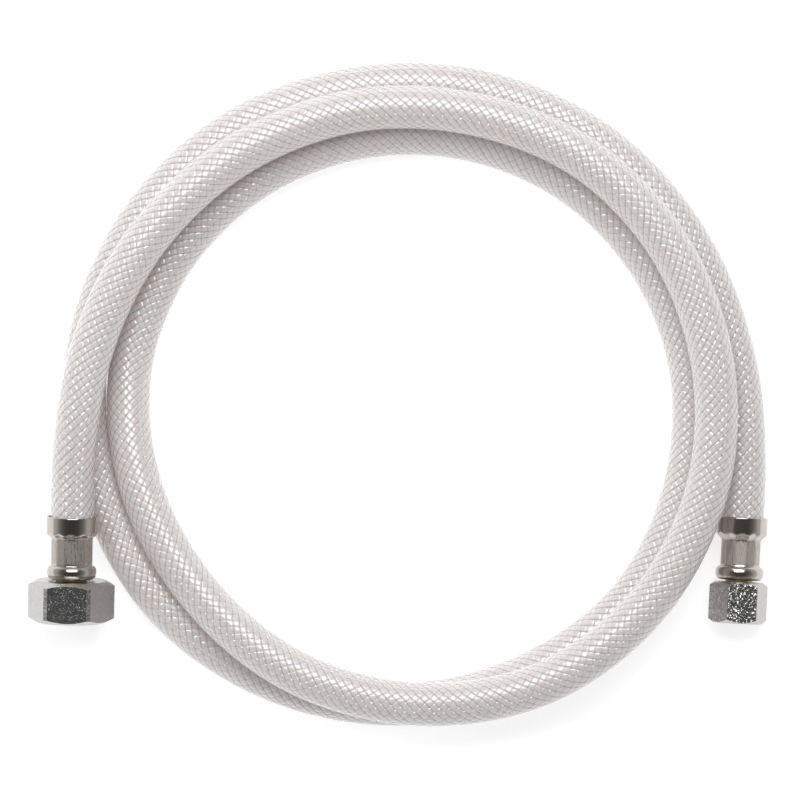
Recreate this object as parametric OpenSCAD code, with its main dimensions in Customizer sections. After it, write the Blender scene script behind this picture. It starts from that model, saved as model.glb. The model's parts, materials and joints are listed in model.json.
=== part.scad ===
// Braided supply line: a reinforced PVC hose with a swivel nut crimped on at each end.
// It lies loosely coiled on the plane z = 0. The origin is midway between the two end fittings.

/* [Hose] */
// Outside diameter of the hose
hose_od = 13.5; // [13:0.1:13.6]
// Diameter of the waterway
hose_bore = 8; // [7.8:0.1:8.2]
// Wall of the clear outer jacket
jacket_wall = 0.75; // [0.5:0.05:0.8]
// Thickness of the yarn layer
braid_wall = 0.6; // [0.4:0.05:0.7]

/* [Ferrules] */
// Thickness of the stainless sheet
sheet = 0.55; // [0.4:0.05:0.6]
// Outside diameter of both bell mouths
bell_od = 16; // [15.6:0.1:16.2]
// Length of each insert that lies inside the hose
insert_reach = 10; // [8:0.5:12]

/* [Faucet end] */
// Nut size across its flats
faucet_hex = 24; // [23.8:0.1:25]
// Nut width over its bevelled corners
faucet_corners = 26.9; // [26.5:0.1:27.2]
// Diameter of the thread's wall, for a 1/2 inch pipe thread
faucet_thread_d = 21; // [20.6:0.1:21.2]
// Outside diameter of the crimped waist
faucet_waist_od = 13.2; // [13:0.1:13.6]
// Outside diameter of the rolled bead
faucet_bead_od = 15.5; // [15:0.1:16]
// Length of the bell
faucet_bell = 5.4; // [5:0.1:5.8]
// Length of the taper from the bell to the waist
faucet_taper = 1.5; // [1.2:0.1:1.8]
// Length of the crimped waist
faucet_waist = 8.3; // [8:0.1:9]
// Length of the rolled bead
faucet_bead = 4.2; // [4:0.1:4.8]
// How far the nut stands off the ferrule
faucet_gap = 0.55; // [0.55:0.05:0.8]

/* [Valve end] */
// Nut size across its flats
valve_hex = 16; // [15.9:0.1:16.5]
// Nut width over its bevelled corners
valve_corners = 18.3; // [18.1:0.1:18.4]
// Diameter of the thread's wall, for a 9/16-24 compression thread
valve_thread_d = 14.3; // [14:0.1:14.4]
// Outside diameter of the crimped waist
valve_waist_od = 12.5; // [12.4:0.1:13]
// Outside diameter of the rolled bead
valve_bead_od = 15.1; // [14.8:0.1:15.6]
// Length of the bell
valve_bell = 5; // [4.6:0.1:5.4]
// Length of the taper from the bell to the waist
valve_taper = 2.4; // [2:0.1:2.8]
// Length of the crimped waist
valve_waist = 7.8; // [7.4:0.1:8.4]
// Length of the rolled bead
valve_bead = 4.2; // [4:0.1:4.6]
// How far the nut stands off the ferrule
valve_gap = 0.7; // [0.55:0.05:0.8]

/* [Nuts] */
// Length of both nuts
nut_length = 12.9; // [12.5:0.1:14]
// Thickness of the wall that closes a nut around the neck
nut_floor = 2; // [1.8:0.1:2.2]

/* [Hidden] */
$fn = 96;

brass = "#c9a24a";
steel = "#9a948f";
nickel = "#b9b7b4";
rubber = "#2b2b2d";
vinyl = [0.93, 0.92, 0.91, 0.6];
yarn = "#f4f2f0";

layer_gap = 0.05;         // between two layers of the hose
sheet_gap = 0.02;         // between the squeezed hose and the ferrule's sheet
end_gap = 0.1;            // from the hose's end to the bead, and from its squeezed part to the taper
taper_lead = 0.6;         // the hose starts to narrow this far inside the bell
slip = 0.08;              // radial play of a turning ring on the neck
seat_gap = 0.05;          // axial play between stacked rings

waist_flats = 12;         // flats that the crimping jaws leave round a waist
lip_r = 5.9;              // hole in a ferrule's mouth

barbs = 3;
barb_r = hose_bore / 2 + 0.1;
shank_r = hose_bore / 2 - 0.2;
shank_lead = 0.4;         // chamfer at the shank's tip
barb_run = 2;             // length of plain shank behind the barbs
shoulder_from = 0.7;      // from the hose's end to the insert's shoulder
collar_from = 1.2;        // from the hose's end to the collar that the bead is rolled over
collar_step = 0.4;        // how far the collar stands out past the mouth's hole
collar_gap = 0.3;         // from the collar to the inside of the bead
shoulder_gap = 0.55;      // from the shoulder to the nut
nose_step = 0.3;          // how far the nose ends inside the washer

ring_thick = 0.6;
flange_thick = 1.2;
washer_thick = 2;
cone_seat = 1.2;          // width of the cone washer's flat front
thread_lead = 0.5;        // countersink at a nut's mouth
relief = 0.2;             // how much wider a nut is behind its thread

faucet_neck_r = 4.7;
faucet_flange_r = 9.3;
faucet_nose_r = 4.5;
faucet_waterway_r = 3;
faucet_face_r = 10.95;    // flat end face of the nut
faucet_cone = 30;         // slope of the cone turned on the nut's ends
valve_neck_r = 4.3;
valve_flange_r = 6.3;
valve_nose_r = 3.6;
valve_waterway_r = 2.6;
valve_face_r = 7.6;
valve_cone = 38;

// Where each bell rim lies, and how its fitting points: turn is about Z, dip is below the horizontal
// and roll is the nut's own turn. Turned, dipped and rolled by 0, a fitting points along -Y.
faucet_rim = [-101.5, 16.5, 17.4];
faucet_turn = -1;
faucet_dip = 5;
faucet_roll = 4;
valve_rim = [106.5, 16, 8.7];
valve_turn = -3;
valve_dip = 0;
valve_roll = -7;

// The hose leaves the faucet end clockwise, as seen from above, and lies in 2.6 loose turns around
// coil_centre: [bearing from -Y, distance from the centre, lift off the floor].
coil_centre = [4.5, 55.5];
hose_route = [
    // out of the faucet fitting, over the last turn, along the top and over the crossing
    [84, 105, 14], [96, 101, 14], [120, 95, 13.5], [144, 91, 12.5], [168, 88.5, 12.5],
    [192, 87.5, 12.5], [216, 89, 12.5], [240, 90.5, 12.5], [264, 92.5, 13], [288, 95.5, 13],
    [312, 98, 13.5], [336, 99, 14], [360, 97, 14],
    // down to the floor on the inside
    [384, 94.5, 13], [408, 91.5, 9.5], [432, 90, 5.5], [456, 88.5, 1], [480, 85.5, 0],
    [504, 82.5, 0], [528, 80.5, 0], [552, 80, 0], [576, 81, 0], [600, 83, 0],
    [624, 86, 0], [648, 89, 0], [672, 93, 0], [696, 95, 0],
    // under the crossing and round the outside to the valve fitting
    [720, 97.5, 0], [744, 100, 0], [768, 102.5, 0], [792, 102.5, 0], [816, 102.5, 0],
    [840, 100.5, 0], [864, 98.5, 0], [888, 96, 0], [912, 95.5, 0], [936, 96, 0],
    [960, 97, 0], [984, 100, 0.5],
];
straight = 9;             // the hose leaves each ferrule straight for this far
hose_sides = 12;
long_leg = 36;            // a longer leg of the route gets a ring half way along

hose_r = hose_od / 2;
bore_r = hose_bore / 2;
jacket_in = hose_r - jacket_wall;
braid_out = jacket_in - layer_gap;
braid_in = braid_out - braid_wall;
liner_out = braid_in - layer_gap;

function total(list, n) = n == 0 ? 0 : list[n - 1] + total(list, n - 1);
function pointing(turn, dip) = [sin(turn) * cos(dip), -cos(turn) * cos(dip), -sin(dip)];
function squeezed(waist_od) = waist_od / 2 - sheet - sheet_gap;

faucet_axis = pointing(faucet_turn, faucet_dip);
valve_axis = pointing(valve_turn, valve_dip);
faucet_lengths = [faucet_bell, faucet_taper, faucet_waist, faucet_bead];
valve_lengths = [valve_bell, valve_taper, valve_waist, valve_bead];
faucet_nut_at = total(faucet_lengths, 4) + faucet_gap;
valve_nut_at = total(valve_lengths, 4) + valve_gap;

// ---- the hose ----

function on_route(s) = [
    coil_centre.x - s[1] * sin(s[0]),
    coil_centre.y - s[1] * cos(s[0]),
    hose_r + s[2],
];
route = concat(
    [faucet_rim, faucet_rim - straight * faucet_axis],
    [for (s = hose_route) on_route(s)],
    [valve_rim - straight * valve_axis, valve_rim]
);

// A smooth curve through the route: each point's heading blends the two legs that meet there.
function leg(i) = route[i + 1] - route[i];
function unit(v) = v / norm(v);
function heading(i) =
    i == 0 ? unit(leg(0))
    : i == len(route) - 1 ? unit(leg(i - 1))
    : let (before = norm(leg(i - 1)), after = norm(leg(i)))
        (unit(leg(i - 1)) * after + unit(leg(i)) * before) / (before + after);
function between(i, u) =
    route[i] * (1 + 2 * u) * pow(1 - u, 2)
    + heading(i) * norm(leg(i)) * u * pow(1 - u, 2)
    + route[i + 1] * (3 - 2 * u) * u * u
    - heading(i + 1) * norm(leg(i)) * (1 - u) * u * u;

// Each ring of the hose: [its centre, the hose's outer radius there]. The hose keeps its full size
// up to the end of a bell, and is squeezed under the waist of the ferrule.
function end_rings(rim, axis, lengths, waist_od) = [
    [rim + axis * (total(lengths, 3) - end_gap), squeezed(waist_od)],
    [rim + axis * (total(lengths, 2) + end_gap), squeezed(waist_od)],
    [rim + axis * (lengths[0] - taper_lead), hose_r],
    [rim, hose_r],
];
function backwards(list) = [for (i = [len(list) - 1:-1:0]) list[i]];
rings = concat(
    end_rings(faucet_rim, faucet_axis, faucet_lengths, faucet_waist_od),
    [for (i = [1:len(route) - 2])
        for (u = norm(leg(i)) > long_leg ? [0, 0.5] : [0])
            [between(i, u), hose_r]],
    backwards(end_rings(valve_rim, valve_axis, valve_lengths, valve_waist_od))
);

// A layer's radius at a ring: the wall is squeezed against the insert, which holds the bore open.
function layer_r(r, outer) = bore_r + (r - bore_r) * (outer - bore_r) / (hose_r - bore_r);
function ring_points(k, r) =
    let (
        first = max(k - 1, 0),
        last = min(k + 1, len(rings) - 1),
        along = unit(rings[last][0] - rings[first][0]),
        side = unit(cross([0, 0, 1], along)),
        up = cross(along, side),
        size = layer_r(r, rings[k][1])
    )
    [for (j = [0:hose_sides - 1])
        let (a = 360 * (j + 0.5) / hose_sides)
        rings[k][0] + size * (cos(a) * side + sin(a) * up)];

// A tube along all the rings, from an inner to an outer radius.
module swept_tube(inner, outer) {
    n = hose_sides;
    last = len(rings) - 1;
    outside = [for (k = [0:last]) each ring_points(k, outer)];
    inside = [for (k = [0:last]) each ring_points(k, inner)];
    skin = len(outside);
    end = last * n;
    function next(j) = (j + 1) % n;
    polyhedron(
        points = concat(outside, inside),
        faces = concat(
            [for (k = [0:n:end - n]) for (j = [0:n - 1])
                [k + j, k + n + j, k + n + next(j), k + next(j)]],
            [for (k = [skin:n:skin + end - n]) for (j = [0:n - 1])
                [k + next(j), k + n + next(j), k + n + j, k + j]],
            [for (j = [0:n - 1]) [j, next(j), skin + next(j), skin + j]],
            [for (j = [0:n - 1]) [end + next(j), end + j, skin + end + j, skin + end + next(j)]]
        ),
        convexity = 12
    );
}

module hose_liner() { color(vinyl) swept_tube(bore_r, liner_out); }
module hose_braid() { color(yarn) swept_tube(braid_in, braid_out); }
module hose_jacket() { color(vinyl) swept_tube(jacket_in, hose_r); }

// ---- the fittings, each drawn with its bell rim at z = 0 and its mouth towards +z ----

module at_faucet() {
    translate(faucet_rim) rotate([0, 0, faucet_turn]) rotate([90 + faucet_dip, 0, 0]) children();
}
module at_valve() {
    translate(valve_rim) rotate([0, 0, valve_turn]) rotate([90 + valve_dip, 0, 0]) children();
}

// Outline of a ferrule's sheet, moved inwards by depth: bell, taper, waist and rolled bead.
function sheet_outline(lengths, waist_r, bead_r, depth) =
    let (bead = total(lengths, 3), half = lengths[3] / 2)
    concat(
        [[bell_od / 2 - depth, depth > 0 ? -1 : 0]],
        [[bell_od / 2 - depth, lengths[0]]],
        [[waist_r - depth, total(lengths, 2)], [waist_r - depth, bead]],
        [for (a = [160:-20:0])
            [waist_r + (bead_r - waist_r) * sin(a) - depth, bead + half + (half - depth) * cos(a)]],
        [[0, bead + 2 * half - depth], [0, depth > 0 ? -1 : 0]]
    );

// Stainless sleeve: a bell over the hose, a crimped waist and a bead rolled over the insert's collar.
module ferrule(lengths, waist_od, bead_od) {
    flat_r = waist_od / 2 * cos(180 / waist_flats);
    end = total(lengths, 4);
    difference() {
        union() {
            rotate_extrude() polygon(sheet_outline(lengths, flat_r, bead_od / 2, 0));
            translate([0, 0, total(lengths, 2)]) rotate([0, 0, 180 / waist_flats])
                cylinder(r = waist_od / 2, h = lengths[2], $fn = waist_flats);
        }
        rotate_extrude() polygon(sheet_outline(lengths, waist_od / 2, bead_od / 2, sheet));
        translate([0, 0, end - lengths[3]]) cylinder(r = lip_r, h = lengths[3] + 1);
    }
}

// Brass insert: barbed shank in the hose, collar under the bead, neck, flange and nose.
module stem(lengths, nut_at, neck_r, flange_r, nose_r, waterway_r) {
    hose_end = total(lengths, 3);
    tip = hose_end - insert_reach;
    barb_pitch = (insert_reach - barb_run) / barbs;
    collar_at = hose_end + collar_from;
    collar_end = total(lengths, 4) - sheet - collar_gap;
    shoulder_at = hose_end + shoulder_from;
    flange_at = nut_at + nut_floor + ring_thick + 2 * seat_gap;
    rotate_extrude() difference() {
        union() {
            polygon(concat(
                [[0, tip], [shank_r - shank_lead, tip]],
                [for (i = [0:barbs - 1]) let (barb_at = tip + i * barb_pitch) each [
                    [shank_r, barb_at + shank_lead],
                    [barb_r, barb_at + barb_pitch],
                    [shank_r, barb_at + barb_pitch + shank_lead / 2],
                ]],
                [[shank_r, hose_end], [0, hose_end]]
            ));
            translate([0, collar_at]) square([lip_r + collar_step, collar_end - collar_at]);
            translate([0, shoulder_at]) square([lip_r - slip, nut_at - shoulder_gap - shoulder_at]);
            translate([0, hose_end]) square([neck_r, flange_at - hose_end]);
            translate([0, flange_at]) square([flange_r, flange_thick]);
            translate([0, flange_at]) square([nose_r, flange_thick + washer_thick - nose_step]);
        }
        translate([0, tip - 1]) square([waterway_r, nut_at + nut_length - tip]);
    }
}

// Loose ring between the nut's floor and the flange: it slides on the neck, and the nut turns on it.
module thrust_ring(nut_at, neck_r, ring_r) {
    translate([0, 0, nut_at + nut_floor + seat_gap]) difference() {
        cylinder(r = ring_r, h = ring_thick);
        translate([0, 0, -1]) cylinder(r = neck_r + slip, h = ring_thick + 2);
    }
}

module washer(nut_at, flange_r, nose_r) {
    translate([0, 0, washer_at(nut_at)]) difference() {
        cylinder(r = flange_r, h = washer_thick);
        translate([0, 0, -1]) cylinder(r = nose_r, h = washer_thick + 2);
    }
}
function washer_at(nut_at) = nut_at + nut_floor + ring_thick + flange_thick + 2 * seat_gap;

module cone_washer(nut_at, flange_r, nose_r) {
    translate([0, 0, washer_at(nut_at)]) difference() {
        union() {
            cylinder(r = flange_r, h = washer_thick / 2);
            translate([0, 0, washer_thick / 2])
                cylinder(r1 = flange_r, r2 = nose_r + cone_seat, h = washer_thick / 2);
        }
        translate([0, 0, -1]) cylinder(r = nose_r, h = washer_thick + 2);
    }
}

// Hexagon bar with bevelled corners, turned to a cone at both ends.
module hex_blank(hex, corners, face_r, cone) {
    rim_r = corners / 2 + 1;
    rise = (rim_r - face_r) * tan(cone);
    intersection() {
        cylinder(r = hex / 2 / cos(30), h = nut_length, $fn = 6);
        rotate([0, 0, 30]) cylinder(r = corners / 2 / cos(30), h = nut_length, $fn = 6);
        rotate_extrude() polygon([
            [0, 0], [face_r, 0], [rim_r, rise],
            [rim_r, nut_length - rise], [face_r, nut_length], [0, nut_length],
        ]);
    }
}

// Swivel nut: a floor around the neck, room for flange and washer, and the wall of the thread.
module nut(nut_at, hex, corners, face_r, cone, thread_d, neck_r) {
    thread_from = washer_at(0) + washer_thick;
    translate([0, 0, nut_at]) difference() {
        hex_blank(hex, corners, face_r, cone);
        translate([0, 0, -1]) cylinder(r = neck_r + slip, h = nut_length);
        translate([0, 0, nut_floor]) cylinder(r = thread_d / 2 + relief, h = thread_from - nut_floor);
        translate([0, 0, nut_floor]) cylinder(r = thread_d / 2, h = nut_length);
        translate([0, 0, nut_length - thread_lead])
            cylinder(r1 = thread_d / 2, r2 = thread_d / 2 + thread_lead / 2, h = thread_lead);
    }
}

module faucet_ferrule() {
    color(steel) at_faucet() ferrule(faucet_lengths, faucet_waist_od, faucet_bead_od);
}
module faucet_stem() {
    color(brass) at_faucet() stem(faucet_lengths, faucet_nut_at, faucet_neck_r, faucet_flange_r,
        faucet_nose_r, faucet_waterway_r);
}
module faucet_thrust_ring() {
    color(brass) at_faucet() thrust_ring(faucet_nut_at, faucet_neck_r, faucet_flange_r);
}
module faucet_nut() {
    color(nickel) at_faucet() rotate([0, 0, faucet_roll])
        nut(faucet_nut_at, faucet_hex, faucet_corners, faucet_face_r, faucet_cone,
            faucet_thread_d, faucet_neck_r);
}
module faucet_washer() {
    color(rubber) at_faucet() washer(faucet_nut_at, faucet_flange_r, faucet_nose_r);
}
module valve_ferrule() {
    color(steel) at_valve() ferrule(valve_lengths, valve_waist_od, valve_bead_od);
}
module valve_stem() {
    color(brass) at_valve() stem(valve_lengths, valve_nut_at, valve_neck_r, valve_flange_r,
        valve_nose_r, valve_waterway_r);
}
module valve_thrust_ring() {
    color(brass) at_valve() thrust_ring(valve_nut_at, valve_neck_r, valve_flange_r);
}
module valve_nut() {
    color(nickel) at_valve() rotate([0, 0, valve_roll])
        nut(valve_nut_at, valve_hex, valve_corners, valve_face_r, valve_cone,
            valve_thread_d, valve_neck_r);
}
module valve_washer() {
    color(rubber) at_valve() cone_washer(valve_nut_at, valve_flange_r, valve_nose_r);
}

hose_liner();
hose_braid();
hose_jacket();
faucet_ferrule();
faucet_stem();
faucet_thrust_ring();
faucet_nut();
faucet_washer();
valve_ferrule();
valve_stem();
valve_thrust_ring();
valve_nut();
valve_washer();
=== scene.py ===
"""Looks of the braided supply line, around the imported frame. Metres; the line lies on z = 0."""
import json
import math

import bpy
import numpy as np
from mathutils import Matrix, Vector

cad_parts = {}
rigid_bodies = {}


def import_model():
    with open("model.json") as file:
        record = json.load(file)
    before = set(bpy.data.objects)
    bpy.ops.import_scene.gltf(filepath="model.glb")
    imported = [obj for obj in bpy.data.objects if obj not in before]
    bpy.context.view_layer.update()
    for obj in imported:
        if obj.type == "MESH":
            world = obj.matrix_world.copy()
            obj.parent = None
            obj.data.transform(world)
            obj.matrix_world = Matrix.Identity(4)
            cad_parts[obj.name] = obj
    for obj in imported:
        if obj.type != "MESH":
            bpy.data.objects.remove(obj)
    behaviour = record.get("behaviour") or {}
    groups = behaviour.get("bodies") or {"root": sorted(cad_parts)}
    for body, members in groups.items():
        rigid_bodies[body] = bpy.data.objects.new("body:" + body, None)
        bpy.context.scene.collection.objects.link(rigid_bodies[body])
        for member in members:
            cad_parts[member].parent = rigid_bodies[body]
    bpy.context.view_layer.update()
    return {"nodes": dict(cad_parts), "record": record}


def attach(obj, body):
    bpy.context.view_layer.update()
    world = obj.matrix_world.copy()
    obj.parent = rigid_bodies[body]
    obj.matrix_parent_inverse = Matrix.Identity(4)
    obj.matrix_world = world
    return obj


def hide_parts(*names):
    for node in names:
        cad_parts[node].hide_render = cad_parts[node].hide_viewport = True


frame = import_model()


# ---- sizes that the looks share with the design ----

HOSE_R = 0.00675
BELL_R = 0.008
SHEET = 0.00055           # thickness of the ferrules' sheet
LIP_R = 0.0059            # hole in a ferrule's mouth
STRAIGHT = 0.009          # the hose leaves each ferrule straight for this far
THREAD_FROM = 0.0059      # the thread's wall, from a nut's back face
THREAD_TO = 0.0124

# Each end: the bell's rim, the ferrule's lengths (bell, taper, waist, bead) and radii, and where the
# nut and its thread are.
ENDS = {
    "faucet": {
        "rim": (-0.1015, 0.0165, 0.0174),
        "lengths": (0.0054, 0.0015, 0.0083, 0.0042),
        "waist_r": 0.0066,
        "bead_r": 0.00775,
        "nut_at": 0.01995,
        "thread_r": 0.0105,
        "thread_pitch": 0.00181,
        "thread_depth": 0.0011,
    },
    "valve": {
        "rim": (0.1065, 0.016, 0.0087),
        "lengths": (0.005, 0.0024, 0.0078, 0.0042),
        "waist_r": 0.00625,
        "bead_r": 0.00755,
        "nut_at": 0.0201,
        "thread_r": 0.00715,
        "thread_pitch": 0.00106,
        "thread_depth": 0.0006,
    },
}
MOUNTS = {mount["name"]: mount for mount in frame["record"]["mounts"]}

# The hose's route: (bearing from -Y in degrees, distance from the coil's centre, lift off the floor).
COIL_CENTRE = (0.0045, 0.0555)
ROUTE = [
    # out of the faucet fitting, over the last turn, along the top and over the crossing
    (84, 0.105, 0.014), (96, 0.101, 0.014), (120, 0.095, 0.0135), (144, 0.091, 0.0125),
    (168, 0.0885, 0.0125), (192, 0.0875, 0.0125), (216, 0.089, 0.0125), (240, 0.0905, 0.0125),
    (264, 0.0925, 0.013), (288, 0.0955, 0.013), (312, 0.098, 0.0135), (336, 0.099, 0.014),
    (360, 0.097, 0.014),
    # down to the floor on the inside
    (384, 0.0945, 0.013), (408, 0.0915, 0.0095), (432, 0.09, 0.0055), (456, 0.0885, 0.001),
    (480, 0.0855, 0), (504, 0.0825, 0), (528, 0.0805, 0), (552, 0.08, 0), (576, 0.081, 0),
    (600, 0.083, 0), (624, 0.086, 0), (648, 0.089, 0), (672, 0.093, 0), (696, 0.095, 0),
    # under the crossing and round the outside to the valve fitting
    (720, 0.0975, 0), (744, 0.1, 0), (768, 0.1025, 0), (792, 0.1025, 0), (816, 0.1025, 0),
    (840, 0.1005, 0), (864, 0.0985, 0), (888, 0.096, 0), (912, 0.0955, 0), (936, 0.096, 0),
    (960, 0.097, 0), (984, 0.1, 0.0005),
]


# ---- camera ----

CAMERA_AT = (0, 0.0525, 2.083)


def make_camera():
    """Straight above the coil, from far enough off that both nuts are seen almost square on."""
    data = bpy.data.cameras.new("camera")
    data.lens = 300
    data.sensor_width = 36
    data.clip_end = 10
    camera = bpy.data.objects.new("camera", data)
    camera.location = CAMERA_AT
    bpy.context.scene.collection.objects.link(camera)
    bpy.context.scene.camera = camera


# ---- nodes ----

class Nodes:
    """A short way to write a material's node tree."""

    def __init__(self, name):
        self.material = bpy.data.materials.new(name)
        self.material.use_nodes = True
        self.tree = self.material.node_tree
        self.shader = self.tree.nodes["Principled BSDF"]

    def put(self, socket, value):
        """Links a socket to another, or gives it a plain value."""
        if isinstance(value, bpy.types.NodeSocket):
            self.tree.links.new(value, socket)
        else:
            socket.default_value = value

    def add(self, kind, **inputs):
        node = self.tree.nodes.new(kind)
        for name, value in inputs.items():
            self.put(node.inputs[name.replace("_", " ")], value)
        return node

    def set(self, **inputs):
        """Fills the shader's own inputs."""
        for name, value in inputs.items():
            self.put(self.shader.inputs[name.replace("_", " ")], value)

    def operation(self, kind, operation, values):
        node = self.tree.nodes.new(kind)
        node.operation = operation
        for socket, value in zip(node.inputs, values):
            self.put(socket, value)
        return node

    def math(self, operation, *values):
        return self.operation("ShaderNodeMath", operation, values).outputs[0]

    def vector(self, operation, *values):
        return self.operation("ShaderNodeVectorMath", operation, values).outputs["Vector"]

    def dot(self, a, b):
        return self.operation("ShaderNodeVectorMath", "DOT_PRODUCT", (a, b)).outputs["Value"]

    def scale(self, value, low, high, to_low, to_high, smooth=False):
        """Maps low to to_low and high to to_high, and clamps."""
        node = self.tree.nodes.new("ShaderNodeMapRange")
        if smooth:
            node.interpolation_type = "SMOOTHSTEP"
        names = ("Value", "From Min", "From Max", "To Min", "To Max")
        for name, number in zip(names, (value, low, high, to_low, to_high)):
            self.put(node.inputs[name], number)
        return node.outputs[0]

    def mix(self, factor, a, b):
        """Blends two colours."""
        node = self.tree.nodes.new("ShaderNodeMix")
        node.data_type = "RGBA"
        self.put(node.inputs[0], factor)
        self.put(node.inputs[6], a)
        self.put(node.inputs[7], b)
        return node.outputs[2]

    def noise(self, scale, detail, vector=None):
        node = self.add("ShaderNodeTexNoise", Scale=scale, Detail=detail)
        if vector is not None:
            self.put(node.inputs["Vector"], vector)
        return node.outputs[0]

    def bump(self, height, distance, strength=1.0, normal=None):
        node = self.add("ShaderNodeBump", Height=height, Distance=distance, Strength=strength)
        if normal is not None:
            self.put(node.inputs["Normal"], normal)
        return node.outputs[0]

    def attribute(self, name):
        node = self.tree.nodes.new("ShaderNodeAttribute")
        node.attribute_name = name
        return node.outputs

    def objects(self):
        return self.tree.nodes.new("ShaderNodeTexCoord").outputs["Object"]


def grey(value, warmth=0.0):
    return (value * (1 + warmth), value, value * (1 - warmth), 1.0)


# ---- meshes ----

def new_piece(name, points, faces, smooth=True):
    mesh = bpy.data.meshes.new(name)
    mesh.from_pydata(points, [], faces)
    mesh.validate()
    mesh.polygons.foreach_set("use_smooth", [smooth] * len(mesh.polygons))
    piece = bpy.data.objects.new(name, mesh)
    bpy.context.scene.collection.objects.link(piece)
    return piece


def grid_faces(rows, columns, closed_rows=False):
    """Quads of a grid of points whose columns run around a ring."""
    row = np.arange(rows if closed_rows else rows - 1)[:, None]
    column = np.arange(columns)[None]
    ahead = (row + 1) % rows
    beside = (column + 1) % columns
    corners = [
        row * columns + column,
        row * columns + beside,
        ahead * columns + beside,
        ahead * columns + column,
    ]
    return np.stack(corners, axis=-1).reshape(-1, 4)


def end_caps(rows, columns):
    """The faces that close the first and the last ring of such a grid."""
    first = list(range(columns))[::-1]
    last = list(range((rows - 1) * columns, rows * columns))
    return [first, last]


def blend(low, high, value):
    """0 up to low, 1 from high on, and smooth between them."""
    t = np.clip((value - low) / (high - low), 0, 1)
    return t * t * (3 - 2 * t)


# ---- the hose ----

RING_STEP = 0.00038
HOSE_SIDES = 112
SQUEEZED_R = 0.0054       # inside the waist of a ferrule
FULL_BY = 0.3             # share of the bell's length by which the hose has its full size again

STRANDS = 15              # yarn strands that wind each way
WEAVE_PITCH = 0.00295     # along the hose, from one strand to the next
RELIEF = 0.00006          # height of a strand over the grooves beside it
UNDER_SHARE = 0.9         # depth of the under strands' grooves, as a share of that
ROUNDNESS = 4             # power by which a strand's top falls off to its edges


def fitting_axis(end):
    return Vector(MOUNTS[end + "_thread"]["axis"]).normalized()


def route_points():
    """From one rim to the other."""
    faucet = Vector(ENDS["faucet"]["rim"])
    valve = Vector(ENDS["valve"]["rim"])
    points = [faucet, faucet - STRAIGHT * fitting_axis("faucet")]
    for bearing, radius, lift in ROUTE:
        turn = math.radians(bearing)
        points.append(Vector((
            COIL_CENTRE[0] - radius * math.sin(turn),
            COIL_CENTRE[1] - radius * math.cos(turn),
            HOSE_R + lift,
        )))
    points += [valve - STRAIGHT * fitting_axis("valve"), valve]
    return np.array(points)


def smooth_curve(points, steps=60):
    """A curve through the points: its heading at each one blends the two legs that meet there."""
    legs = np.diff(points, axis=0)
    lengths = np.linalg.norm(legs, axis=1)
    slopes = legs / lengths[:, None]
    headings = np.empty_like(points)
    headings[0], headings[-1] = slopes[0], slopes[-1]
    before, after = lengths[:-1, None], lengths[1:, None]
    headings[1:-1] = (slopes[:-1] * after + slopes[1:] * before) / (before + after)
    u = (np.arange(steps) / steps)[:, None]
    curve = []
    for i, length in enumerate(lengths):
        curve.append(
            points[i] * (1 + 2 * u) * (1 - u) ** 2
            + headings[i] * length * u * (1 - u) ** 2
            + points[i + 1] * (3 - 2 * u) * u**2
            - headings[i + 1] * length * (1 - u) * u**2
        )
    return np.concatenate(curve + [points[-1:]])


def run_lengths(points):
    """How far along the line each of its points is."""
    return np.concatenate([[0], np.cumsum(np.linalg.norm(np.diff(points, axis=0), axis=1))])


def hose_tip(end):
    """Where the hose stops, at the end of a ferrule's waist."""
    inside = sum(ENDS[end]["lengths"][:3])
    return np.array([Vector(ENDS[end]["rim"]) + fitting_axis(end) * inside])


def hose_line():
    """The hose's centreline at even steps, from inside one ferrule to inside the other."""
    curve = np.concatenate([hose_tip("faucet"), smooth_curve(route_points()), hose_tip("valve")])
    along = run_lengths(curve)
    stations = np.linspace(0, along[-1], round(along[-1] / RING_STEP) + 1)
    return np.stack([np.interp(stations, along, curve[:, i]) for i in range(3)], axis=1), stations


def weave_relief(around, along):
    """How far the strands stand out, in metres. around is in turns, along in metres."""
    over = STRANDS * around - along / WEAVE_PITCH
    under = STRANDS * around + along / WEAVE_PITCH
    over_edge = np.abs(2 * (over % 1) - 1)
    under_edge = np.abs(2 * (under % 1) - 1)
    return -RELIEF * (over_edge**ROUNDNESS + UNDER_SHARE * under_edge**ROUNDNESS)


def hose_radius(end, from_tip):
    """The hose's radius near one end, at distances from its tip: it is squeezed in the waist."""
    bell, taper, waist, _ = ENDS[end]["lengths"]
    full_at = waist + taper + bell * FULL_BY
    return np.interp(from_tip, [waist, full_at], [SQUEEZED_R, HOSE_R])


def hose_outwards(centres, turn):
    """Unit directions away from the centreline, for each ring and each turn around it."""
    along = np.gradient(centres, axis=0)
    along /= np.linalg.norm(along, axis=1)[:, None]
    side = np.cross([0, 0, 1], along)
    side /= np.linalg.norm(side, axis=1)[:, None]
    up = np.cross(along, side)
    angle = (2 * np.pi * turn)[None, :, None]
    return np.cos(angle) * side[:, None] + np.sin(angle) * up[:, None]


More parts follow.
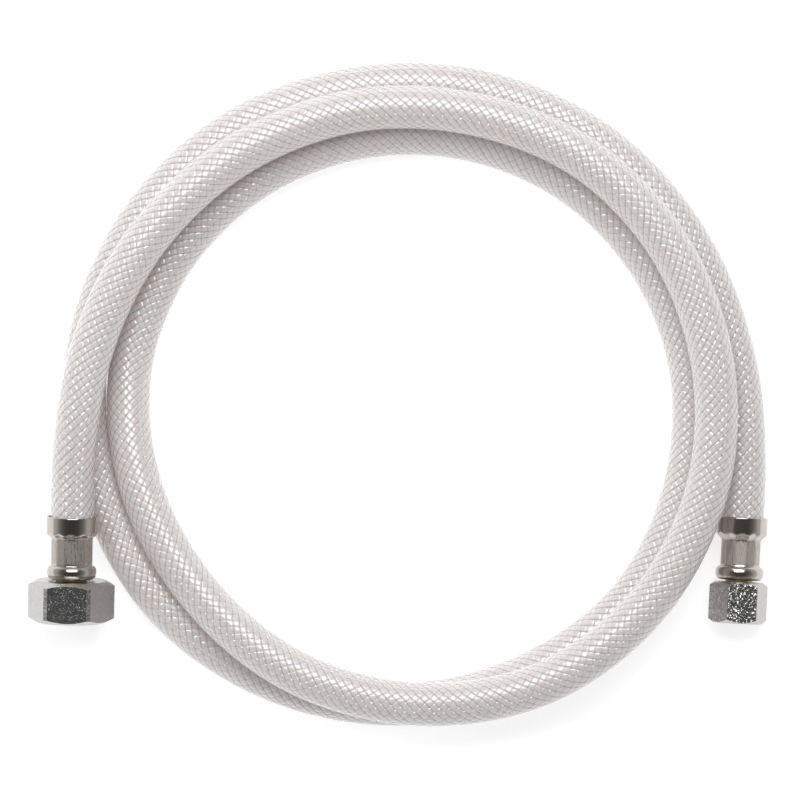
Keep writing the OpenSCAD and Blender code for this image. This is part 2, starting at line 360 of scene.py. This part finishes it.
def make_hose():
    centres, stations = hose_line()
    turn = np.arange(HOSE_SIDES) / HOSE_SIDES
    outwards = hose_outwards(centres, turn)
    from_faucet = hose_radius("faucet", stations)
    from_valve = hose_radius("valve", stations[-1] - stations)
    radius = np.minimum(from_faucet, from_valve)
    size = radius[:, None] + weave_relief(turn[None], stations[:, None])
    points = centres[:, None] + size[..., None] * outwards
    rows = len(centres)
    faces = grid_faces(rows, HOSE_SIDES).tolist() + end_caps(rows, HOSE_SIDES)
    hose = new_piece("hose", points.reshape(-1, 3), faces)
    map_weave(hose, turn, stations)
    jacket = hose.data.attributes.new("jacket_normal", "FLOAT_VECTOR", "POINT")
    jacket.data.foreach_set("vector", outwards.reshape(-1))
    hose.data.materials.append(hose_material())
    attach(hose, "hose")
    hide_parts("hose_liner", "hose_braid", "hose_jacket")


def map_weave(hose, turn, stations):
    """UV: U is the turn around the hose, and V the distance along it in metres."""
    layer = hose.data.uv_layers.new(name="weave")
    index = np.empty(len(hose.data.loops), dtype=int)
    hose.data.loops.foreach_get("vertex_index", index)
    sides = len(turn)
    u = turn[index % sides]
    v = stations[index // sides]
    corners_of_quads = (len(stations) - 1) * sides * 4
    corner = u[:corners_of_quads].reshape(-1, 4)
    wraps = corner.max(axis=1) - corner.min(axis=1) > 0.5
    corner[wraps] = np.where(corner[wraps] < 0.5, corner[wraps] + 1, corner[wraps])
    u[:corners_of_quads] = corner.reshape(-1)
    layer.data.foreach_set("uv", np.stack([u, v], axis=1).reshape(-1))


# ---- the hose's material ----

YARN_DARK = (0.56, 0.54, 0.535, 1)
YARN_LIGHT = (0.61, 0.59, 0.585, 1)
# grey that shows between the strands, darkened further as painted shade in the grooves
GROOVE_GAP_AND_SHADE = (0.2, 0.183, 0.178, 1)
GLOW = (1.0, 0.84, 0.79, 1)       # stands for light that scatters in the hose
YARN_BUMP = 0.00006
JACKET_BUMP = 0.00024

# The look of the two families of strands. 0 is a strand's middle and 1 its edge: where its wall and
# its dark line start, how deep the wall goes down, and how dark the line is at the edge. The dark line
# is partly the grey between strands and partly painted shade in the groove.
FAMILIES = {
    "over": {"wall_from": 0.5, "depth": 1.0, "line_from": 0.7, "line": 0.62},
    "under": {"wall_from": 0.52, "depth": UNDER_SHARE, "line_from": 0.76, "line": 0.36},
}


def hose_material():
    """White yarn that scatters light, under a clear gloss coat that follows it loosely."""
    n = Nodes("clear_vinyl_over_yarn")
    uv = n.tree.nodes.new("ShaderNodeUVMap")
    uv.uv_map = "weave"
    split = n.add("ShaderNodeSeparateXYZ", Vector=uv.outputs[0])
    around = n.math("MULTIPLY", split.outputs[0], STRANDS)
    along = n.math("DIVIDE", split.outputs[1], WEAVE_PITCH)

    def strand_look(operation, family):
        strand = n.math(operation, around, along)
        middle = n.math("SUBTRACT", n.math("FRACT", strand), 0.5)
        edge = n.math("MULTIPLY", n.math("ABSOLUTE", middle), 2.0)
        wall = n.scale(edge, family["wall_from"], 1.0, 0, -family["depth"])
        line = n.scale(edge, family["line_from"], 1.0, 0, family["line"], smooth=True)
        return wall, line

    over_wall, over_line = strand_look("SUBTRACT", FAMILIES["over"])
    under_wall, under_line = strand_look("ADD", FAMILIES["under"])
    height = n.math("ADD", over_wall, under_wall)
    yarn = n.mix(n.noise(90, 3), YARN_DARK, YARN_LIGHT)
    # the dark lines: partly the grey between strands, partly painted shade that the bump cannot cast
    n.set(Base_Color=n.mix(n.math("ADD", over_line, under_line), yarn, GROOVE_GAP_AND_SHADE))
    n.set(Roughness=0.25, IOR=1.6)
    n.set(Subsurface_Weight=0.8, Subsurface_Scale=0.005, Subsurface_Radius=(1.0, 0.7, 0.6))
    n.set(Emission_Color=GLOW, Emission_Strength=0.06)
    n.set(Normal=n.bump(height, YARN_BUMP))
    n.set(Coat_Weight=1.0, Coat_Roughness=0.08, Coat_IOR=1.8)
    smooth_jacket = n.attribute("jacket_normal")["Vector"]
    n.set(Coat_Normal=n.bump(height, JACKET_BUMP, normal=smooth_jacket))
    return n.material


# ---- the ferrules ----

CRIMPS = 12               # flats that the crimping jaws leave round a waist
FERRULE_SIDES = 144
SCALLOP = 0.0007          # how far each flat runs out into the bell's shoulder
CORNER = 0.985            # the corners between flats are worn to this share of the waist's radius
EDGE = 0.00018            # rounding of the sheet's edges
TUBE_ROWS = 50            # rows of the mesh from the rim to the bead
BEAD_ROWS = 20


def fitting_matrix(end):
    """Places a fitting drawn with its bell rim at z = 0 and its mouth towards +z."""
    z = fitting_axis(end)
    x = Vector((0, 0, 1)).cross(-z).normalized()
    y = z.cross(x)
    matrix = Matrix((x, y, z)).transposed().to_4x4()
    matrix.translation = ENDS[end]["rim"]
    return matrix


def sheet_radius(end, height, turn, depth):
    """A ferrule's radius at one height, depth inside its outer face, round the whole turn."""
    bell, taper, waist, bead = ENDS[end]["lengths"]
    waist_r, bead_r = ENDS[end]["waist_r"], ENDS[end]["bead_r"]
    waist_end = bell + taper + waist
    from_flat = (turn * CRIMPS + 0.5) % 1 - 0.5
    flat_r = waist_r * math.cos(math.pi / CRIMPS) / np.cos(from_flat * 2 * math.pi / CRIMPS)
    flat_r = np.minimum(flat_r, waist_r * CORNER)
    if height < waist_end:
        pressed = (1 + np.cos(2 * math.pi * from_flat)) / 2
        shoulder = bell - SCALLOP * pressed
        return BELL_R + (flat_r - BELL_R) * blend(shoulder, bell + taper, height) - depth
    half = bead / 2
    up_bead = np.clip((height - (waist_end + half)) / (half - depth), -1, 1)
    swell = math.sqrt(1 - up_bead**2)
    past_waist = blend(waist_end - bead * 0.15, waist_end + bead * 0.3, height)
    base = flat_r + (waist_r - flat_r) * past_waist
    return np.maximum(base + (bead_r - base) * swell, LIP_R + SHEET) - depth


def ferrule_outline(end):
    """The heights of the rows up the outside and over the bead, and of those down the inside."""
    lengths = ENDS[end]["lengths"]
    waist_end, mouth = sum(lengths[:3]), sum(lengths)
    half = lengths[3] / 2
    round_bead = np.linspace(0.12, 0.97 * math.pi, BEAD_ROWS)
    swell = [waist_end + half * (1 - math.cos(angle)) for angle in round_bead]
    outside = [EDGE] + list(np.linspace(2 * EDGE, waist_end, TUBE_ROWS)) + swell
    inside = [height for height in outside[::-1] if height < mouth - SHEET * 1.2]
    return outside, inside


def ferrule_rows(end):
    """Each row's radius round the turn and its height: from the rim up the outside, over the bead,
    and down the inside back to the rim."""
    turn = np.arange(FERRULE_SIDES) / FERRULE_SIDES
    full = np.ones(FERRULE_SIDES)
    mouth = sum(ENDS[end]["lengths"])
    outside, inside = ferrule_outline(end)
    rows = [((BELL_R - EDGE) * full, 0.0)]
    rows += [(sheet_radius(end, height, turn, 0.0), height) for height in outside]
    rows += [
        ((LIP_R + EDGE) * full, mouth),
        (LIP_R * full, mouth - EDGE),
        (LIP_R * full, mouth - SHEET),
    ]
    rows += [(sheet_radius(end, height, turn, SHEET), height) for height in inside]
    rows += [((BELL_R - SHEET + EDGE) * full, 0.0)]
    return rows


def share_scored(end, height):
    """1 in the waist, where the jaws slid, and 0 on the bell and the bead."""
    bell, taper, waist, bead = ENDS[end]["lengths"]
    waist_end = bell + taper + waist
    starts = blend(bell, bell + taper + 0.1 * waist, height)
    stops = blend(waist_end - 0.1 * waist, waist_end, height)
    return starts * (1 - stops)


def make_ferrule(end, material):
    rows = ferrule_rows(end)
    angle = 2 * np.pi * np.arange(FERRULE_SIDES) / FERRULE_SIDES
    points = np.array([
        np.stack([radius * np.cos(angle), radius * np.sin(angle), np.full_like(angle, height)], axis=1)
        for radius, height in rows
    ]).reshape(-1, 3)
    faces = grid_faces(len(rows), FERRULE_SIDES, closed_rows=True).tolist()
    ferrule = new_piece(end + "_crimped_ferrule", points, faces)
    ferrule.data.transform(fitting_matrix(end))
    scored = ferrule.data.attributes.new("scored", "FLOAT", "POINT")
    share = np.array([share_scored(end, height) for _, height in rows])
    scored.data.foreach_set("value", np.repeat(share, FERRULE_SIDES))
    ferrule.data.materials.append(material)
    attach(ferrule, "hose")
    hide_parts(end + "_ferrule")


# ---- the nuts' threads ----

THREAD_STEPS = 60         # rings of the ridge to a turn
FOOT = 0.46               # half widths of the ridge, as shares of the pitch
CREST = 0.07
FADE = 0.4                # turns in which the ridge rises at each end
SUNK = EDGE / 4           # how far its foot is sunk into the nut's wall
LEAST_RISE = EDGE / 10    # at its very ends, so that it is nowhere without thickness


def make_thread(end, material):
    """The ridge of the nut's inside thread, a helix that fades into the wall at both ends."""
    wall, pitch, depth = (ENDS[end]["thread_" + name] for name in ("r", "pitch", "depth"))
    foot, crest = FOOT * pitch, CREST * pitch
    low, high = THREAD_FROM + foot, THREAD_TO - foot
    turns = (high - low) / pitch
    steps = round(turns * THREAD_STEPS)
    turn = np.linspace(0, turns, steps + 1)
    height = ENDS[end]["nut_at"] + low + turn * pitch
    rise = depth * blend(0, FADE, turn) * blend(0, FADE, turns - turn) + LEAST_RISE
    foot_r = wall + SUNK
    profile = [(0, -foot), (1, -crest), (1, crest), (0, foot)]
    points = np.stack([
        np.stack([
            (foot_r - rise * out) * np.cos(2 * np.pi * turn),
            (foot_r - rise * out) * np.sin(2 * np.pi * turn),
            height + offset,
        ], axis=1)
        for out, offset in profile
    ], axis=1).reshape(-1, 3)
    sides = len(profile)
    faces = grid_faces(steps + 1, sides).tolist() + end_caps(steps + 1, sides)
    thread = new_piece(end + "_nut_thread", points, faces, smooth=False)
    thread.data.transform(fitting_matrix(end))
    thread.data.materials.append(material)
    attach(thread, end + "_nut")


# ---- metals and rubber ----

# Each ferrule's steel: two tones that it is mottled with, and a roughness that its scores raise.
STEELS = {
    "faucet": {"dark": (0.42, 0.36, 0.31, 1), "light": grey(0.54, 0.03), "roughness": 0.14},
    "valve": {"dark": (0.48, 0.42, 0.37, 1), "light": grey(0.5, 0.04), "roughness": 0.18},
}
SCORE_SCALE = (2400, 100, 2400)   # the scores are fine across the fitting and long along it
SCORE_BUMP = 0.00009
DENT_BUMP = 0.00005
NICKEL_DARK = grey(0.43, 0.015)
NICKEL_LIGHT = grey(0.5, 0.015)
WORN_BRASS = (0.55, 0.33, 0.12, 1)
NUT_EDGE = 0.00008                # rounding of the nuts' edges
GRAINS = 3300                     # blasted grains to a metre
GRAIN_TILT = 0.37                 # spread of the grains' normals along each axis
BRASS_DARK = (0.42, 0.3, 0.13, 1)
BRASS_LIGHT = (0.5, 0.38, 0.19, 1)
RUBBER_DARK = grey(0.018)
RUBBER_LIGHT = grey(0.035)
RUBBER_BUMP = 0.00003


def steel_material(end):
    """Drawn sheet, with fine scores along the waist where the jaws slid."""
    steel = STEELS[end]
    n = Nodes(end + "_drawn_stainless")
    scored = n.attribute("scored")["Fac"]
    along = n.add("ShaderNodeMapping", Vector=n.objects(), Scale=SCORE_SCALE).outputs[0]
    scores = n.math("MULTIPLY", n.noise(1, 2, along), n.scale(scored, 0, 1, 0.15, 1))
    rough = n.math("MULTIPLY", n.noise(1200, 2), n.scale(scored, 0, 1, 0.1, 1))
    smoothest, roughest = steel["roughness"] * 0.8, steel["roughness"] * 3.6
    n.set(Metallic=1.0)
    n.set(Base_Color=n.mix(n.noise(260, 4), steel["dark"], steel["light"]))
    n.set(Roughness=n.scale(scores, 0.3, 0.65, smoothest, roughest))
    n.set(Normal=n.bump(scores, SCORE_BUMP, normal=n.bump(rough, DENT_BUMP)))
    return n.material


def nickel_material():
    """Satin nickel over brass: blasted to a fine grain, and worn through on some of its edges."""
    n = Nodes("satin_nickel")
    bevel = n.add("ShaderNodeBevel", Radius=NUT_EDGE)
    bevel.samples = 6
    rounded = bevel.outputs[0]
    true_normal = n.tree.nodes.new("ShaderNodeNewGeometry").outputs["True Normal"]
    edge = n.scale(n.dot(rounded, true_normal), 0.97, 0.995, 1, 0)
    worn = n.math("MULTIPLY", edge, n.scale(n.noise(220, 2), 0.55, 0.66, 0, 0.8))
    plate = n.mix(n.noise(400, 3), NICKEL_DARK, NICKEL_LIGHT)
    grain = n.add("ShaderNodeTexVoronoi", Vector=n.objects(), Scale=GRAINS).outputs["Color"]
    lean = n.vector("SUBTRACT", grain, (0.5, 0.5, 0.5))
    tilted = n.vector("MULTIPLY_ADD", lean, (GRAIN_TILT, GRAIN_TILT, GRAIN_TILT), rounded)
    n.set(Metallic=1.0)
    n.set(Base_Color=n.mix(worn, plate, WORN_BRASS))
    n.set(Roughness=n.scale(n.noise(700, 3), 0.3, 0.7, 0.2, 0.26))
    n.set(Normal=n.vector("NORMALIZE", tilted))
    return n.material


def brass_material():
    n = Nodes("turned_brass")
    n.set(Metallic=1.0)
    n.set(Base_Color=n.mix(n.noise(300, 3), BRASS_DARK, BRASS_LIGHT))
    n.set(Roughness=n.scale(n.noise(500, 2), 0.3, 0.7, 0.32, 0.45))
    return n.material


def rubber_material():
    n = Nodes("black_rubber")
    n.set(Base_Color=n.mix(n.noise(400, 3), RUBBER_DARK, RUBBER_LIGHT))
    n.set(Roughness=0.7)
    n.set(Normal=n.bump(n.noise(1800, 2), RUBBER_BUMP, strength=0.5))
    return n.material


def paint(node, material):
    """Gives a CAD node its material."""
    data = frame["nodes"][node].data
    data.materials.clear()
    data.materials.append(material)


# ---- the studio ----

FLOOR_REACH = 3.0                 # from its middle to each side
SKY_STRENGTH = 0.65
SKY = ((0.0, 1.0), (0.25, 1.0), (0.55, 0.4), (0.85, 0.14), (1.0, 0.1))    # height, brightness
LIGHTS_AIM = (0, 0.05, 0)
LIGHTS = [
    # the strip makes the streaks and glints, and the other two stay out of reflections
    {"name": "strip", "at": (0, 0.66, 1.13), "size": (1.0, 0.75), "watts": 13.0, "glossy": True},
    {"name": "side", "at": (-0.85, 0.22, 0.95), "size": (0.4, 0.3), "watts": 3.6, "glossy": False},
    {"name": "fill", "at": (0, 0.05, 1.6), "size": (2.2, 2.2), "watts": 4.0, "glossy": False},
]


def make_floor():
    """A floor that glows, so that it comes out white."""
    a = FLOOR_REACH
    floor = new_piece("floor", [(-a, -a, 0), (a, -a, 0), (a, a, 0), (-a, a, 0)], [(0, 1, 2, 3)])
    n = Nodes("white_floor")
    n.set(Base_Color=grey(0.55), Roughness=0.9, Specular_IOR_Level=0.0)
    n.set(Emission_Color=grey(1.0), Emission_Strength=0.7)
    floor.data.materials.append(n.material)


def make_world():
    """A sky that is bright low down and dark overhead."""
    world = bpy.data.worlds.new("studio")
    bpy.context.scene.world = world
    world.use_nodes = True
    tree = world.node_tree
    background = tree.nodes["Background"]
    direction = tree.nodes.new("ShaderNodeTexCoord").outputs["Generated"]
    split = tree.nodes.new("ShaderNodeSeparateXYZ")
    tree.links.new(direction, split.inputs[0])
    ramp = tree.nodes.new("ShaderNodeValToRGB")
    tree.links.new(split.outputs["Z"], ramp.inputs[0])
    stops = ramp.color_ramp.elements
    first, *between, last = SKY
    stops[0].position, stops[0].color = first[0], grey(first[1])
    stops[1].position, stops[1].color = last[0], grey(last[1])
    for height, brightness in between:
        stops.new(height).color = grey(brightness)
    tree.links.new(ramp.outputs[0], background.inputs["Color"])
    background.inputs["Strength"].default_value = SKY_STRENGTH


def make_light(name, at, size, watts, glossy):
    data = bpy.data.lights.new(name, "AREA")
    data.shape = "RECTANGLE"
    data.size, data.size_y = size
    data.energy = watts
    light = bpy.data.objects.new(name, data)
    light.location = at
    light.visible_glossy = glossy
    aim = Vector(LIGHTS_AIM) - Vector(at)
    light.rotation_euler = aim.to_track_quat("-Z", "Y").to_euler()
    bpy.context.scene.collection.objects.link(light)


make_camera()
make_hose()

nickel = nickel_material()
brass = brass_material()
rubber = rubber_material()
for end in ENDS:
    make_ferrule(end, steel_material(end))
for end in ENDS:
    make_thread(end, nickel)
    paint(end + "_nut", nickel)
    paint(end + "_stem", brass)
    paint(end + "_thrust_ring", brass)
    paint(end + "_washer", rubber)

make_floor()
make_world()
for light in LIGHTS:
    make_light(**light)
bpy.context.scene.view_settings.view_transform = "Standard"
